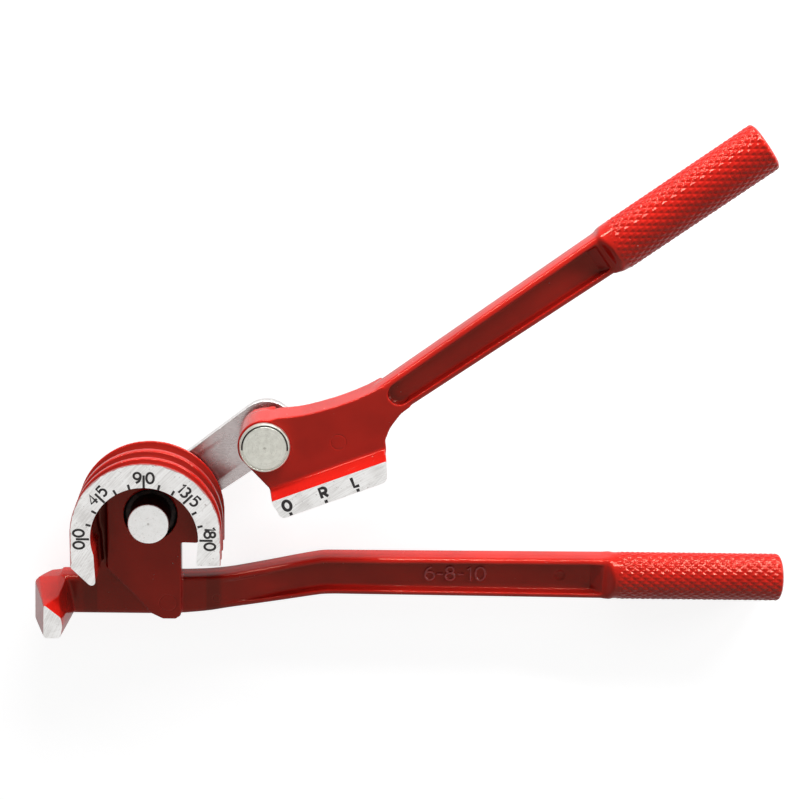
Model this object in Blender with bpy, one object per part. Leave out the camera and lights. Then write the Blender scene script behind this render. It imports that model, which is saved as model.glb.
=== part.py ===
# Lever tube bender for 6, 8 and 10 mm tube, lying on its back.
# The pivot axes run along Z, the scale faces up, and the lower grip points along +X.
# The origin is on the former's axis, at the level of the surface that the tool lies on.

import bpy
import bmesh
from math import asin, atan2, cos, pi, radians, sin, sqrt
from mathutils import Matrix, Vector

for old in list(bpy.data.objects):
    bpy.data.objects.remove(old, do_unlink=True)

mm = 0.001

# Driving sizes
clearance = 0.3 * mm
tube_radii = (3.0 * mm, 4.0 * mm, 5.0 * mm)
front_wall = 1.0 * mm
crest_widths = (3.0 * mm, 3.6 * mm)
rear_wall = 1.4 * mm
rim_radius = 32.4 * mm
shoe_drop = 31.0 * mm
nip_gap = 0.4 * mm
link_rest_angle = radians(37.0)
lever_rest_angle = radians(21.3)
grip_radius = 10.35 * mm
grip_length = 75.6 * mm
handle_depth = 13.0 * mm

# Places that follow from the driving sizes
groove_widths = [2 * radius for radius in tube_radii]
wheel_width = front_wall + sum(groove_widths) + sum(crest_widths) + rear_wall
link_length = rim_radius + shoe_drop + nip_gap
bar_low = grip_radius - handle_depth / 2
bar_high = grip_radius + handle_depth / 2
wheel_back_step = 4.0 * mm
wheel_low = bar_high - wheel_back_step
wheel_high = wheel_low + wheel_width
lever_pivot = Vector((link_length * cos(link_rest_angle), link_length * sin(link_rest_angle), 0))

# Pins, washers, link and retaining rings, stacked down from the wheel's back
shank_radius = 6.0 * mm
bore_radius = shank_radius + clearance
washer_thickness = 1.5 * mm
washer_radius = 8.6 * mm
link_thickness = 5.0 * mm
link_near_radius = 10.9 * mm
link_far_radius = 12.5 * mm
ring_thickness = 1.5 * mm
ring_radius = 7.8 * mm
ring_gap = radians(60.0)
groove_depth = 0.8 * mm
pin_tail = 1.85 * mm
pin_chamfer = 0.4 * mm
front_washer_low = wheel_low - clearance - washer_thickness
link_high = front_washer_low - clearance
link_low = link_high - link_thickness
rear_washer_low = link_low - clearance - washer_thickness
ring_low = rear_washer_low - clearance - ring_thickness
pin_low = ring_low - clearance - pin_tail
overrun = 2.0 * mm
turn_steps = 48


def keep(name, mesh):
    """Make an object of a bmesh, with its faces turned outwards."""
    bmesh.ops.recalc_face_normals(mesh, faces=mesh.faces)
    data = bpy.data.meshes.new(name)
    mesh.to_mesh(data)
    mesh.free()
    thing = bpy.data.objects.new(name, data)
    bpy.context.collection.objects.link(thing)
    return thing


def prism(name, outline, low, high, rounding=0.0):
    """Extrude a closed outline from one height to another, with rounded rims if asked."""
    mesh = bmesh.new()
    base = mesh.faces.new([mesh.verts.new((x, y, low)) for x, y in outline])
    grown = bmesh.ops.extrude_face_region(mesh, geom=[base])
    risen = [item for item in grown["geom"] if isinstance(item, bmesh.types.BMVert)]
    bmesh.ops.translate(mesh, verts=risen, vec=(0, 0, high - low))
    if rounding:
        rims = [edge for edge in mesh.edges if abs(edge.verts[0].co.z - edge.verts[1].co.z) < clearance]
        bmesh.ops.bevel(mesh, geom=rims, offset=rounding, offset_type="OFFSET", segments=2, profile=0.5,
                        affect="EDGES", clamp_overlap=True, material=-1)
    return keep(name, mesh)


def turned(name, profile, steps=turn_steps, axis="Z", gap=0.0):
    """Turn a closed profile of (radius, height) points about the Z or the X axis, but for a gap."""
    mesh = bmesh.new()
    sides = steps if not gap else steps + 1
    turns = [(2 * pi - gap) * step / steps for step in range(sides)]
    rows = []
    for radius, height in profile:
        if not radius:
            centre = (0, 0, height) if axis == "Z" else (height, 0, 0)
            rows.append([mesh.verts.new(centre)] * sides)
        elif axis == "Z":
            rows.append([mesh.verts.new((radius * cos(turn), radius * sin(turn), height)) for turn in turns])
        else:
            rows.append([mesh.verts.new((height, radius * cos(turn), radius * sin(turn))) for turn in turns])
    for row, following in zip(rows, rows[1:] + rows[:1]):
        for step in range(steps):
            after = (step + 1) % sides
            corners = list(dict.fromkeys((row[step], row[after], following[after], following[step])))
            if len(corners) > 2:
                mesh.faces.new(corners)
    if gap:
        mesh.faces.new([row[0] for row in rows])
        mesh.faces.new([row[-1] for row in rows])
    return keep(name, mesh)


def wrapped(name, points):
    """Close a skin round a set of points."""
    mesh = bmesh.new()
    for point in points:
        mesh.verts.new(point)
    bmesh.ops.convex_hull(mesh, input=mesh.verts)
    return keep(name, mesh)


def shape(body, operation, others):
    """Join the other solids to a body or cut them out of it, and set them aside."""
    for other in others:
        step = body.modifiers.new(other.name, "BOOLEAN")
        step.operation = operation
        step.object = other
        step.solver = "EXACT"
        other.hide_render = True
        other.display_type = "WIRE"


def paint(thing, colour, roughness, metallic):
    finish = bpy.data.materials.new(thing.name)
    finish.use_nodes = True
    shader = finish.node_tree.nodes["Principled BSDF"]
    shader.inputs["Base Color"].default_value = (*colour, 1)
    shader.inputs["Roughness"].default_value = roughness
    shader.inputs["Metallic"].default_value = metallic
    thing.data.materials.append(finish)
    thing.data.shade_smooth()
    thing.data.set_sharp_from_angle(angle=radians(30))


def arc(centre, radius, start, end, steps):
    """Points along an arc, from one angle to another."""
    turns = [start + (end - start) * step / steps for step in range(steps + 1)]
    return [(centre[0] + radius * cos(turn), centre[1] + radius * sin(turn)) for turn in turns]


red = (0.52, 0.012, 0.016)
steel = (0.66, 0.66, 0.62)
dark_steel = (0.30, 0.30, 0.30)


def groove_heights():
    """Middle height of each tube groove, from the front of the wheel to its back."""
    heights = []
    top = wheel_high - front_wall
    for radius, crest in zip(tube_radii, (*crest_widths, rear_wall)):
        heights.append(top - radius)
        top = top - 2 * radius - crest
    return heights


# Forming wheel: a ring on a web, open below, with a straight leg on either side
wheel_bore = 23.2 * mm
leg_bore = 21.6 * mm
left_leg = 23.8 * mm
left_leg_edge = 15.4 * mm
right_leg = 13.8 * mm
groove_steps = 8
wheel_steps = 40


def rim_section():
    """Closed section of the ring, as distance from the axis and height."""
    points = [(wheel_bore, wheel_high), (rim_radius, wheel_high)]
    for radius, height in zip(tube_radii, groove_heights()):
        for step in range(groove_steps + 1):
            turn = pi * step / groove_steps
            points.append((rim_radius - radius * sin(turn), height + radius * cos(turn)))
    points += [(rim_radius, wheel_low), (wheel_bore, wheel_low)]
    return points


def grow_leg(mesh, face, length):
    """Carry the ring's end straight on, and draw its bore side in a little."""
    grown = bmesh.ops.extrude_face_region(mesh, geom=[face])
    bmesh.ops.delete(mesh, geom=[face], context="FACES_ONLY")
    risen = [item for item in grown["geom"] if isinstance(item, bmesh.types.BMVert)]
    bmesh.ops.translate(mesh, verts=risen, vec=(0, -length, 0))
    for point in risen:
        if abs(abs(point.co.x) - wheel_bore) < clearance:
            point.co.x *= leg_bore / wheel_bore


def forming_ring():
    mesh = bmesh.new()
    start = mesh.faces.new([mesh.verts.new((-radius, 0, height)) for radius, height in rim_section()])
    spun = bmesh.ops.spin(mesh, geom=[start], cent=(0, 0, 0), axis=(0, 0, 1), dvec=(0, 0, 0), angle=-pi,
                          space=Matrix(), steps=wheel_steps, use_merge=False, use_duplicate=False)
    end = [item for item in spun["geom_last"] if isinstance(item, bmesh.types.BMFace)][0]
    first = [face for face in mesh.faces
             if face is not end and all(abs(vert.co.y) < clearance and vert.co.x < 0 for vert in face.verts)]
    grow_leg(mesh, end, right_leg)
    if first:
        grow_leg(mesh, first[0], left_leg)
    return keep("ring", mesh)


# Web, pad and see-through window beside the pad
pad_step = 3.0 * mm
pad_high = bar_high + pad_step
seat_depth = 2.5 * mm
seat_radius = 11.7 * mm
web_step = 0.15 * mm
web_left_shares = ((-1.00, -0.95), (-0.98, -0.48))
pad_left_share = -0.593
pad_foot_shares = ((-0.605, -0.795), (-0.198, -1.222), (-0.006, -1.457), (0.157, -1.537),
                   (0.335, -1.537), (0.401, -1.490), (0.417, -1.432))
window_top = 13.2 * mm
window_left = 13.5 * mm
window_right = 21.2 * mm
rib_right = 29.0 * mm
ring_overlap = 1.4 * mm


def pad_outline():
    inside = wheel_bore + ring_overlap
    left = pad_left_share * rim_radius
    points = [(share_x * rim_radius, share_y * rim_radius) for share_x, share_y in pad_foot_shares]
    points += [(window_left, -window_top), (sqrt(inside ** 2 - window_top ** 2), -window_top)]
    right_turn = atan2(-window_top, sqrt(inside ** 2 - window_top ** 2))
    left_turn = atan2(sqrt(inside ** 2 - left ** 2), left)
    points += arc((0, 0), inside, right_turn, left_turn, wheel_steps // 2)[1:]
    return points


def web_outline():
    inside = wheel_bore + ring_overlap
    bottom = -bar_drop
    points = [(share_x * rim_radius, share_y * rim_radius) for share_x, share_y in web_left_shares]
    points += arc((0, 0), inside, pi, atan2(-window_top, sqrt(inside ** 2 - window_top ** 2)), wheel_steps // 2)
    points += [(window_left, -window_top), (window_left, bottom)]
    points += [(web_left_shares[0][0] * rim_radius, bottom)]
    return points


# Lower bar: from the hook under the wheel, through the crank, to the grip
bar_drop = 39.0 * mm
bar_height = 17.3 * mm
handle_drop = 28.6 * mm
handle_end_height = 18.1 * mm
bar_left = 45.0 * mm
crank_start = 15.0 * mm
crank_end = 80.0 * mm
crank_shares = ((0.0, 0.0, 1.0), (0.16, 0.09, 0.955), (0.31, 0.235, 0.91), (0.47, 0.415, 0.92),
                (0.63, 0.61, 0.94), (0.77, 0.78, 0.96), (0.89, 0.92, 0.965), (0.96, 0.985, 0.965),
                (1.04, 1.0, 0.96))
lower_grip_start = 209.5 * mm
flange = 2.6 * mm
recess_depth = 4.5 * mm
recess_start = 50.0 * mm
recess_end_land = 7.5 * mm
edge_round = 1.2 * mm
grip_neck = 0.7 * mm
grip_chamfer = 0.9 * mm
grip_steps = 32


def bar_stations():
    """Stations along the bar: x, middle y and height."""
    run = crank_end - crank_start
    rise = bar_drop - handle_drop
    stations = [(-bar_left, -bar_drop, bar_height)]
    for along, up, tall in crank_shares:
        stations.append((crank_start + along * run, -bar_drop + up * rise, bar_height * tall))
    stations.append((lower_grip_start, -handle_drop, handle_end_height))
    return stations


def between(stations, x):
    """Middle y and height of the bar at a given x."""
    for (x0, y0, h0), (x1, y1, h1) in zip(stations, stations[1:]):
        if x0 <= x <= x1:
            share = (x - x0) / (x1 - x0)
            return y0 + share * (y1 - y0), h0 + share * (h1 - h0)
    return stations[-1][1:]


def band(stations, inset):
    """Outline that follows the stations at a distance inside their edges."""
    upper = [(x, y + tall / 2 - inset) for x, y, tall in stations]
    lower = [(x, y - tall / 2 + inset) for x, y, tall in stations]
    return lower + upper[::-1]


def grip(name, start, axis_y, axis_z):
    """Round grip along +X, with a shallow neck before it and a chamfered end."""
    neck_radius = grip_radius - grip_neck
    end = start + grip_length
    profile = [(0, start - edge_round), (neck_radius, start - edge_round), (neck_radius, start),
               (grip_radius, start + grip_neck), (grip_radius, end - grip_chamfer),
               (grip_radius - grip_chamfer, end), (0, end)]
    handle = turned(name, profile, steps=grip_steps, axis="X")
    handle.data.transform(Matrix.Translation((0, axis_y, axis_z)))
    return handle


# Hook that holds the tube's tail against the wheel's left side
hook_front_shares = ((-1.364, -1.022), (-1.139, -1.210), (-1.139, -1.481), (-1.373, -1.481))
hook_root_shares = ((-1.611, -1.049), (-1.275, -0.957), (-1.090, -1.463), (-1.617, -1.463))
hook_back_shares = ((-1.580, -1.086), (-1.275, -0.975), (-1.090, -1.463), (-1.600, -1.463))
hook_crown_share = (-1.222, -1.012)
hook_belly_share = (-1.574, -1.481)
hook_crown_back = 10.0 * mm
hook_belly_back = 21.0 * mm


def hook():
    def corners(shares, height):
        return [(share_x * rim_radius, share_y * rim_radius, height) for share_x, share_y in shares]
    points = corners(hook_front_shares, wheel_high)
    points += corners([hook_crown_share], wheel_high - hook_crown_back)
    points += corners([hook_belly_share], wheel_high - hook_belly_back)
    points += corners(hook_root_shares, bar_high - clearance)
    points += corners(hook_back_shares, bar_low)
    return wrapped("hook", points)


def make_former_casting():
    stations = bar_stations()
    recess_y, recess_tall = between(stations, recess_start)
    recess_end = lower_grip_start - recess_end_land
    end_y, end_tall = between(stations, recess_end)
    inner = [(recess_start, recess_y, recess_tall)]
    inner += [station for station in stations if recess_start < station[0] < recess_end]
    inner += [(recess_end, end_y, end_tall)]
    casting = prism("former_casting", band(stations, 0), bar_low, bar_high, edge_round)
    ring = forming_ring()
    web = prism("web", web_outline(), wheel_low, bar_high - web_step)
    pad = prism("pad", pad_outline(), wheel_low, pad_high)
    rib = prism("rib", [(window_right, -bar_drop), (rib_right, -bar_drop),
                        (rib_right, -right_leg / 2), (window_right, -right_leg / 2)],
                wheel_low, bar_high - web_step)
    handle = grip("lower_grip", lower_grip_start, -handle_drop, grip_radius)
    shape(casting, "UNION", [ring, web, pad, rib, hook(), handle])
    leg_cut = prism("leg_cut", [(-rim_radius - left_leg, -left_leg_edge + left_leg),
                                (-rim_radius - left_leg, -left_leg - left_leg),
                                (-rim_radius + left_leg, -left_leg_edge - left_leg)],
                    wheel_low - overrun, wheel_high + overrun)
    shape(ring, "DIFFERENCE", [leg_cut])
    bore = turned("bore", [(0, -overrun), (bore_radius, -overrun), (bore_radius, wheel_high), (0, wheel_high)])
    seat_low = pad_high - seat_depth
    seat = turned("seat", [(0, seat_low), (seat_radius, seat_low), (seat_radius, wheel_high), (0, wheel_high)])
    front = prism("front_recess", band(inner, flange), bar_high - recess_depth, bar_high + overrun + edge_round,
                  edge_round)
    back = prism("back_recess", band(inner, flange), bar_low - overrun - edge_round, bar_low + recess_depth,
                 edge_round)
    shape(casting, "DIFFERENCE", [bore, seat, front, back])
    paint(casting, red, 0.28, 0.0)
    return casting


# Lever casting, drawn about its own pin with the shoe along +X, then turned to its place
cheek_step = 8.0 * mm
cheek_depth = 16.0 * mm
eye_depth = 20.5 * mm
eye_radius = 11.8 * mm
boss_radius = 8.6 * mm
cheek_high = wheel_high - cheek_step
cheek_low = cheek_high - cheek_depth
eye_low = cheek_high - eye_depth
beam_low = cheek_high - handle_depth
shoe_back = 5.0 * mm
shoe_front = 47.8 * mm
shoe_face_height = 9.0 * mm
shoe_height = 12.0 * mm
shoe_corner = 3.4 * mm
band_sink = 1.0 * mm
corner_steps = 5
neck_angle = radians(14.75)
neck_along = 58.5 * mm
neck_up = 0.9 * mm
neck_height = 15.1 * mm
beam_root = 24.0 * mm
beam_length = 115.0 * mm
beam_end_height = 18.0 * mm
cheek_shares = ((-0.095, -0.80), (0.970, -0.80), (1.020, -0.61), (1.033, -0.52), (1.083, -0.455),
                (1.124, -0.371), (1.200, -0.271), (1.264, -0.213), (1.362, -0.165), (1.170, 0.250),
                (0.998, 0.208), (0.726, 0.200), (0.435, 0.238), (0.250, 0.300))
cheek_left_share = (-0.100, -0.61)
eye_start = radians(60.0)
eye_end = radians(190.0)


def make_shoe():
    """The shoe and the outline that rounds its lower corners."""
    low = -shoe_drop
    face_top = low + shoe_face_height
    root = low + shoe_height + band_sink * (shoe_height - shoe_face_height) / cheek_step
    shoe = prism("shoe", [(low, wheel_low), (root, wheel_low), (root, cheek_high - band_sink),
                          (face_top, wheel_high), (low, wheel_high)], -shoe_back, shoe_front)
    shoe.data.transform(Matrix(((0, 0, 1, 0), (1, 0, 0, 0), (0, 1, 0, 0), (0, 0, 0, 1))))
    corner = low + shoe_corner
    points = arc((-shoe_back + shoe_corner, corner), shoe_corner, pi, 3 * pi / 2, corner_steps)
    points += arc((shoe_front - shoe_corner, corner), shoe_corner, -pi / 2, 0, corner_steps)
    points += [(shoe_front, root + overrun), (-shoe_back, root + overrun)]
    outline = prism("shoe_outline", points, wheel_low - overrun, wheel_high + overrun)
    shape(shoe, "INTERSECT", [outline])
    return [shoe, outline]


def cheek_outline():
    """Outline of the cheek between the pin's eye, the shoe and the beam."""
    points = [(share_x * shoe_front, share_y * shoe_drop) for share_x, share_y in cheek_shares]
    points += arc((0, 0), eye_radius, eye_start, eye_end, 3 * corner_steps)
    points.append((cheek_left_share[0] * shoe_front, cheek_left_share[1] * shoe_drop))
    return points


def beam_height(along):
    """Height of the lever's beam at a distance from its neck."""
    return neck_height + (beam_end_height - neck_height) * along / beam_length


def lever_pocket(recess_end):
    """Outline of the recess in the lever's beam, round at the neck."""
    end_radius = neck_height / 2 - flange
    far = beam_height(recess_end) / 2 - flange
    points = arc((end_radius, 0), end_radius, pi / 2, 3 * pi / 2, 2 * corner_steps)
    return points + [(recess_end, -far), (recess_end, far)]


def shoe_channels():
    """Cutters for the three half-round grooves of the shoe."""
    channels = []
    for radius, height in zip(tube_radii, groove_heights()):
        channel = turned("channel", [(0, -shoe_back - overrun), (radius, -shoe_back - overrun),
                                     (radius, shoe_front + overrun), (0, shoe_front + overrun)],
                         steps=2 * groove_steps, axis="X")
        channel.data.transform(Matrix.Translation((0, -shoe_drop, height)))
        channels.append(channel)
    return channels


def make_lever_casting():
    """Return the lever casting, and the solids that it is made with, at the origin."""
    lean = Matrix.Translation((neck_along, neck_up, 0)) @ Matrix.Rotation(neck_angle, 4, "Z")
    lever = prism("lever_casting", cheek_outline(), cheek_low, cheek_high, edge_round)
    stations = [(along, 0, beam_height(along)) for along in (-beam_root, beam_length)]
    beam = prism("beam", band(stations, 0), beam_low, cheek_high, edge_round)
    handle = grip("upper_grip", beam_length, 0, cheek_high - handle_depth / 2)
    shoe, outline = make_shoe()
    eye_high = cheek_high - edge_round
    eye = turned("eye", [(0, eye_low), (eye_radius, eye_low), (eye_radius, eye_high), (0, eye_high)])
    boss = turned("boss", [(0, wheel_low), (boss_radius, wheel_low), (boss_radius, cheek_low), (0, cheek_low)])
    joined = [beam, handle, shoe, eye, boss]

    bore = turned("lever_bore", [(0, -overrun), (bore_radius, -overrun), (bore_radius, wheel_high),
                                 (0, wheel_high)])
    pocket = lever_pocket(beam_length - recess_end_land)
    front = prism("lever_front_recess", pocket, cheek_high - recess_depth, cheek_high + overrun, edge_round)
    back = prism("lever_back_recess", pocket, beam_low - overrun, beam_low + recess_depth, edge_round)
    removed = [bore, *shoe_channels(), front, back]
    for piece in (beam, handle, front, back):
        piece.data.transform(lean)
    shape(lever, "UNION", joined)
    shape(lever, "DIFFERENCE", removed)
    paint(lever, red, 0.28, 0.0)
    return [lever, outline, *joined, *removed]


def make_link():
    """Return the flat link, wider at the lever's pin, and its two holes, along +X from the origin."""
    lean = asin((link_far_radius - link_near_radius) / link_length)
    outline = arc((0, 0), link_near_radius, pi / 2 + lean, 3 * pi / 2 - lean, 4 * corner_steps)
    outline += arc((link_length, 0), link_far_radius, -pi / 2 - lean, pi / 2 + lean, 4 * corner_steps)
    link = prism("link_plate", outline, link_low, link_high)
    holes = []
    for along in (0, link_length):
        hole = turned("link_hole", [(0, link_low - overrun), (bore_radius, link_low - overrun),
                                    (bore_radius, link_high + overrun), (0, link_high + overrun)])
        hole.data.transform(Matrix.Translation((along, 0, 0)))
        holes.append(hole)
    shape(link, "DIFFERENCE", holes)
    paint(link, steel, 0.35, 1.0)
    return [link, *holes]


# Pin heads
former_head_radius = 9.1 * mm
former_head_rise = 12.0 * mm
lever_head_radius = 11.0 * mm
lever_head_face = 9.6 * mm
lever_head_height = 2.1 * mm
lever_head_edge = 0.5 * mm
ring_steps = 30


def shank(high):
    """Profile of a shank with its retaining ring's groove, from the back end up to the head."""
    groove_low = ring_low - clearance
    groove_high = ring_low + ring_thickness + clearance
    inner = shank_radius - groove_depth
    return [(0, pin_low), (shank_radius - pin_chamfer, pin_low), (shank_radius, pin_low + pin_chamfer),
            (shank_radius, groove_low), (inner, groove_low), (inner, groove_high), (shank_radius, groove_high),
            (shank_radius, high)]


def make_former_pin():
    head_low = pad_high - seat_depth + clearance
    head_high = pad_high + former_head_rise
    profile = shank(head_low)
    profile += [(former_head_radius, head_low), (former_head_radius, head_high - pin_chamfer),
                (former_head_radius - pin_chamfer, head_high), (0, head_high)]
    pin = turned("former_pin", profile)
    paint(pin, steel, 0.25, 1.0)


def make_lever_pin():
    head_low = cheek_high + clearance
    head_high = head_low + lever_head_height
    profile = shank(head_low)
    profile += [(lever_head_radius, head_low), (lever_head_radius, head_low + lever_head_edge),
                (lever_head_face, head_high), (0, head_high)]
    pin = turned("lever_pin", profile)
    paint(pin, steel, 0.25, 1.0)
    return pin


def make_washer(name, low):
    high = low + washer_thickness
    washer = turned(name, [(bore_radius, low), (washer_radius, low), (washer_radius, high), (bore_radius, high)])
    paint(washer, dark_steel, 0.4, 1.0)
    return washer


def make_ring(name):
    inner = shank_radius - groove_depth + clearance
    high = ring_low + ring_thickness
    ring = turned(name, [(inner, ring_low), (ring_radius, ring_low), (ring_radius, high), (inner, high)],
                  steps=ring_steps, gap=ring_gap)
    paint(ring, dark_steel, 0.35, 1.0)
    return ring


make_former_casting()
make_former_pin()
make_washer("former_thrust_washer", front_washer_low)
make_washer("former_clip_washer", rear_washer_low)
make_ring("former_retaining_ring")

for piece in make_link():
    piece.data.transform(Matrix.Rotation(link_rest_angle, 4, "Z"))
at_lever_pin = Matrix.Translation(lever_pivot)
for piece in make_lever_casting():
    piece.data.transform(at_lever_pin @ Matrix.Rotation(lever_rest_angle, 4, "Z"))
for piece in (make_lever_pin(), make_washer("lever_thrust_washer", front_washer_low),
              make_washer("lever_clip_washer", rear_washer_low), make_ring("lever_retaining_ring")):
    piece.data.transform(at_lever_pin)
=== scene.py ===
# Hand lever bender for 6, 8 and 10 mm tube, lying open on its back on a pale table.
# Two die castings in gloss red enamel turn on two steel pins, which a flat steel link joins.

from math import asin, copysign, cos, hypot, pi, radians, sin, sqrt

import bmesh
import bpy
from mathutils import Matrix, Vector


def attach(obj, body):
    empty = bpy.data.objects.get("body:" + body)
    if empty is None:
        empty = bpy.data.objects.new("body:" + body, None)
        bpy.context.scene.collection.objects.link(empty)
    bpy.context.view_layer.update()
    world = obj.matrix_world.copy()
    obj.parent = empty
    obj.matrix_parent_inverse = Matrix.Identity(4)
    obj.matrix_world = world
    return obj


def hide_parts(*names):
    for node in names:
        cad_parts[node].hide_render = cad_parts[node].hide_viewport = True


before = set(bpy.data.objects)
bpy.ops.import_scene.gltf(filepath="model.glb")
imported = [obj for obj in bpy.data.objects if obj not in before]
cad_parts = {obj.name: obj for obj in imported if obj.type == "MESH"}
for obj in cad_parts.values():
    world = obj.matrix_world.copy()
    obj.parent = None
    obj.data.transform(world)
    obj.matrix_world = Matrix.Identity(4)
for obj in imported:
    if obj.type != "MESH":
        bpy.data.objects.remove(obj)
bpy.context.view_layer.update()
mm = 0.001


# The lower casting: the half-round forming wheel with three tube grooves, the web and thick pad
# behind it, the hook, and the handle with a recess in each face. It is die-cast in one, so all
# painted corners are soft as they come from the mould, and then the wheel and hook are faced.

class Field:
    """A value in a finish's nodes that can be reckoned with in plain expressions."""

    def __init__(self, finish, socket):
        self.finish = finish
        self.socket = socket

    def reckon(self, operation, *operands):
        return self.finish.node("ShaderNodeMath", {"operation": operation}, dict(enumerate(operands)))

    def __add__(self, other):
        return self.reckon("ADD", self, other)

    def __radd__(self, other):
        return self.reckon("ADD", other, self)

    def __sub__(self, other):
        return self.reckon("SUBTRACT", self, other)

    def __rsub__(self, other):
        return self.reckon("SUBTRACT", other, self)

    def __mul__(self, other):
        return self.reckon("MULTIPLY", self, other)

    def __rmul__(self, other):
        return self.reckon("MULTIPLY", other, self)

    def __pow__(self, other):
        return self.reckon("POWER", self, other)

    def __rpow__(self, other):
        return self.reckon("POWER", other, self)

    def at_least(self, low):
        return self.reckon("MAXIMUM", self, low)

    def between(self, low, high):
        """0 below the low value, 1 above the high one, and a soft step between."""
        return self.finish.node("ShaderNodeMapRange", {"interpolation_type": "SMOOTHSTEP"},
                                {"Value": self, "From Min": low, "From Max": high})


class Finish:
    """A new material, or a world that is handed in, its shader, and one way to add a node."""

    def __init__(self, owner, shader="Principled BSDF", **constants):
        self.owner = bpy.data.materials.new(owner) if isinstance(owner, str) else owner
        self.owner.use_nodes = True
        self.tree = self.owner.node_tree
        self.shader = self.tree.nodes[shader]
        for socket, value in constants.items():
            self.shader.inputs[socket.replace("_", " ")].default_value = value
        self.place = self.node("ShaderNodeTexCoord", output="Object")

    def node(self, kind, settings=None, sockets=None, output=0):
        """Add a node of a kind, with its settings made first and its sockets set or linked."""
        made = self.tree.nodes.new(kind)
        for setting, value in (settings or {}).items():
            setattr(made, setting, value)
        for socket, value in (sockets or {}).items():
            if isinstance(value, Field):
                self.tree.links.new(value.socket, made.inputs[socket])
            else:
                made.inputs[socket].default_value = value
        return Field(self, made.outputs[output])

    def grain(self, scale, detail=2.0, stretch=(1, 1, 1), turn=(0, 0, 0)):
        """Noise with so many waves to the millimetre, drawn out or turned if asked."""
        placed = self.node("ShaderNodeMapping", None, {"Vector": self.place, "Scale": stretch, "Rotation": turn})
        return self.node("ShaderNodeTexNoise", None, {"Vector": placed, "Scale": scale / mm, "Detail": detail})

    def along(self, axis):
        """Place along one axis, in millimetres."""
        return self.node("ShaderNodeSeparateXYZ", None, {0: self.place}, axis) * (1 / mm)

    def away(self, x, y):
        """Distance in millimetres from an upright axis."""
        east, north = self.along("X") - x, self.along("Y") - y
        return (east * east + north * north) ** 0.5

    def from_wheel(self):
        """Distance in millimetres from the wheel's axis, or sideways from it where the legs run down."""
        north = self.along("Y").at_least(0.0)
        return (self.along("X") * self.along("X") + north * north) ** 0.5

    def corners(self, reach):
        """For painted shade: 1 in the piece's own inside corners, fading to 0 at a reach in millimetres."""
        open_sky = self.node("ShaderNodeAmbientOcclusion", {"samples": 8, "only_local": True},
                             {"Distance": reach * mm}, "AO")
        return 1.0 - open_sky.between(0.25, 0.95)

    def mix(self, share, first, second):
        """Mix two colours by a share."""
        first, second = (colour if isinstance(colour, Field) else (*colour, 1) for colour in (first, second))
        return self.node("ShaderNodeMix", {"data_type": "RGBA"}, {0: share, 6: first, 7: second}, 2)

    def bump(self, height, depth, under=None):
        """Relief of a given depth in millimetres."""
        sockets = {"Height": height, "Strength": 1.0, "Distance": depth * mm}
        if under:
            sockets["Normal"] = under
        return self.node("ShaderNodeBump", None, sockets)

    def drive(self, **sockets):
        """Link what changes over the surface to the shader."""
        for socket, value in sockets.items():
            self.tree.links.new(value.socket, self.shader.inputs[socket.replace("_", " ")])
        return self.owner


# The red enamel on both castings is one thick gloss coat. It has a faint orange peel, a few chips
# and the round marks of the ejector pins under it. Painted shade darkens it in its corners, in the
# wheel's grooves and straight below its rim, and on the handle under the wheel's legs.
enamel = Finish("red_enamel", Metallic=0.0, IOR=1.5, Specular_Tint=(0.68, 0.38, 0.28, 1.0))
cloud = enamel.grain(0.05, 3.0)
speck = enamel.grain(2.2, 2.0)
peel = enamel.grain(0.8, 1.0)
tone = enamel.mix(cloud.between(0.35, 0.7), (0.46, 0.010, 0.006), (0.38, 0.008, 0.005))
chip = enamel.grain(0.55, 3.0).between(0.735, 0.745) * enamel.grain(0.06, 1.0).between(0.45, 0.6)
tone = enamel.mix(chip, tone, (0.42, 0.20, 0.18))
front = enamel.along("Z").between(14.0, 15.0)
pressed = 0.0
ejector_marks = ((7.4, -42.0, 3.9), (82.7, 40.9, 3.3), (245.0, 161.5, 2.0), (268.0, -30.5, 1.5), (29.2, -40.6, 1.8))
for x, y, radius in ejector_marks:
    distance = enamel.away(x, y)
    pressed = pressed + front * (distance.between(radius - 0.5, radius) - distance.between(radius, radius + 0.5))
# Painted shade, mixed towards near black: a band 25 to 32 mm off the wheel's axis (the grooves, and straight down below
# the rim), the handle under both legs, and the inside corners.
reach = enamel.from_wheel()
wheel_band_shade = reach.between(24.0, 25.0) * (1.0 - reach.between(29.5, 32.2)) * enamel.along("Z").between(13.5, 14.5)
under_legs_shade = 2.0 - enamel.away(30, -40).between(4.0, 24.0) - enamel.away(-20, -42).between(4.0, 24.0)
painted_shade = enamel.corners(9.0) * 0.45 + enamel.corners(26.0) * 0.4 + wheel_band_shade * 0.25 + under_legs_shade * 0.35
red_enamel = enamel.drive(
    Base_Color=enamel.mix(painted_shade, tone, (0.055, 0.006, 0.004)),
    Roughness=0.07 + cloud * 0.09 + chip * 0.3,
    Normal=enamel.bump(pressed * -1.0 - chip, 0.10, enamel.bump(peel + speck * 0.3, 0.010)),
)

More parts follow.
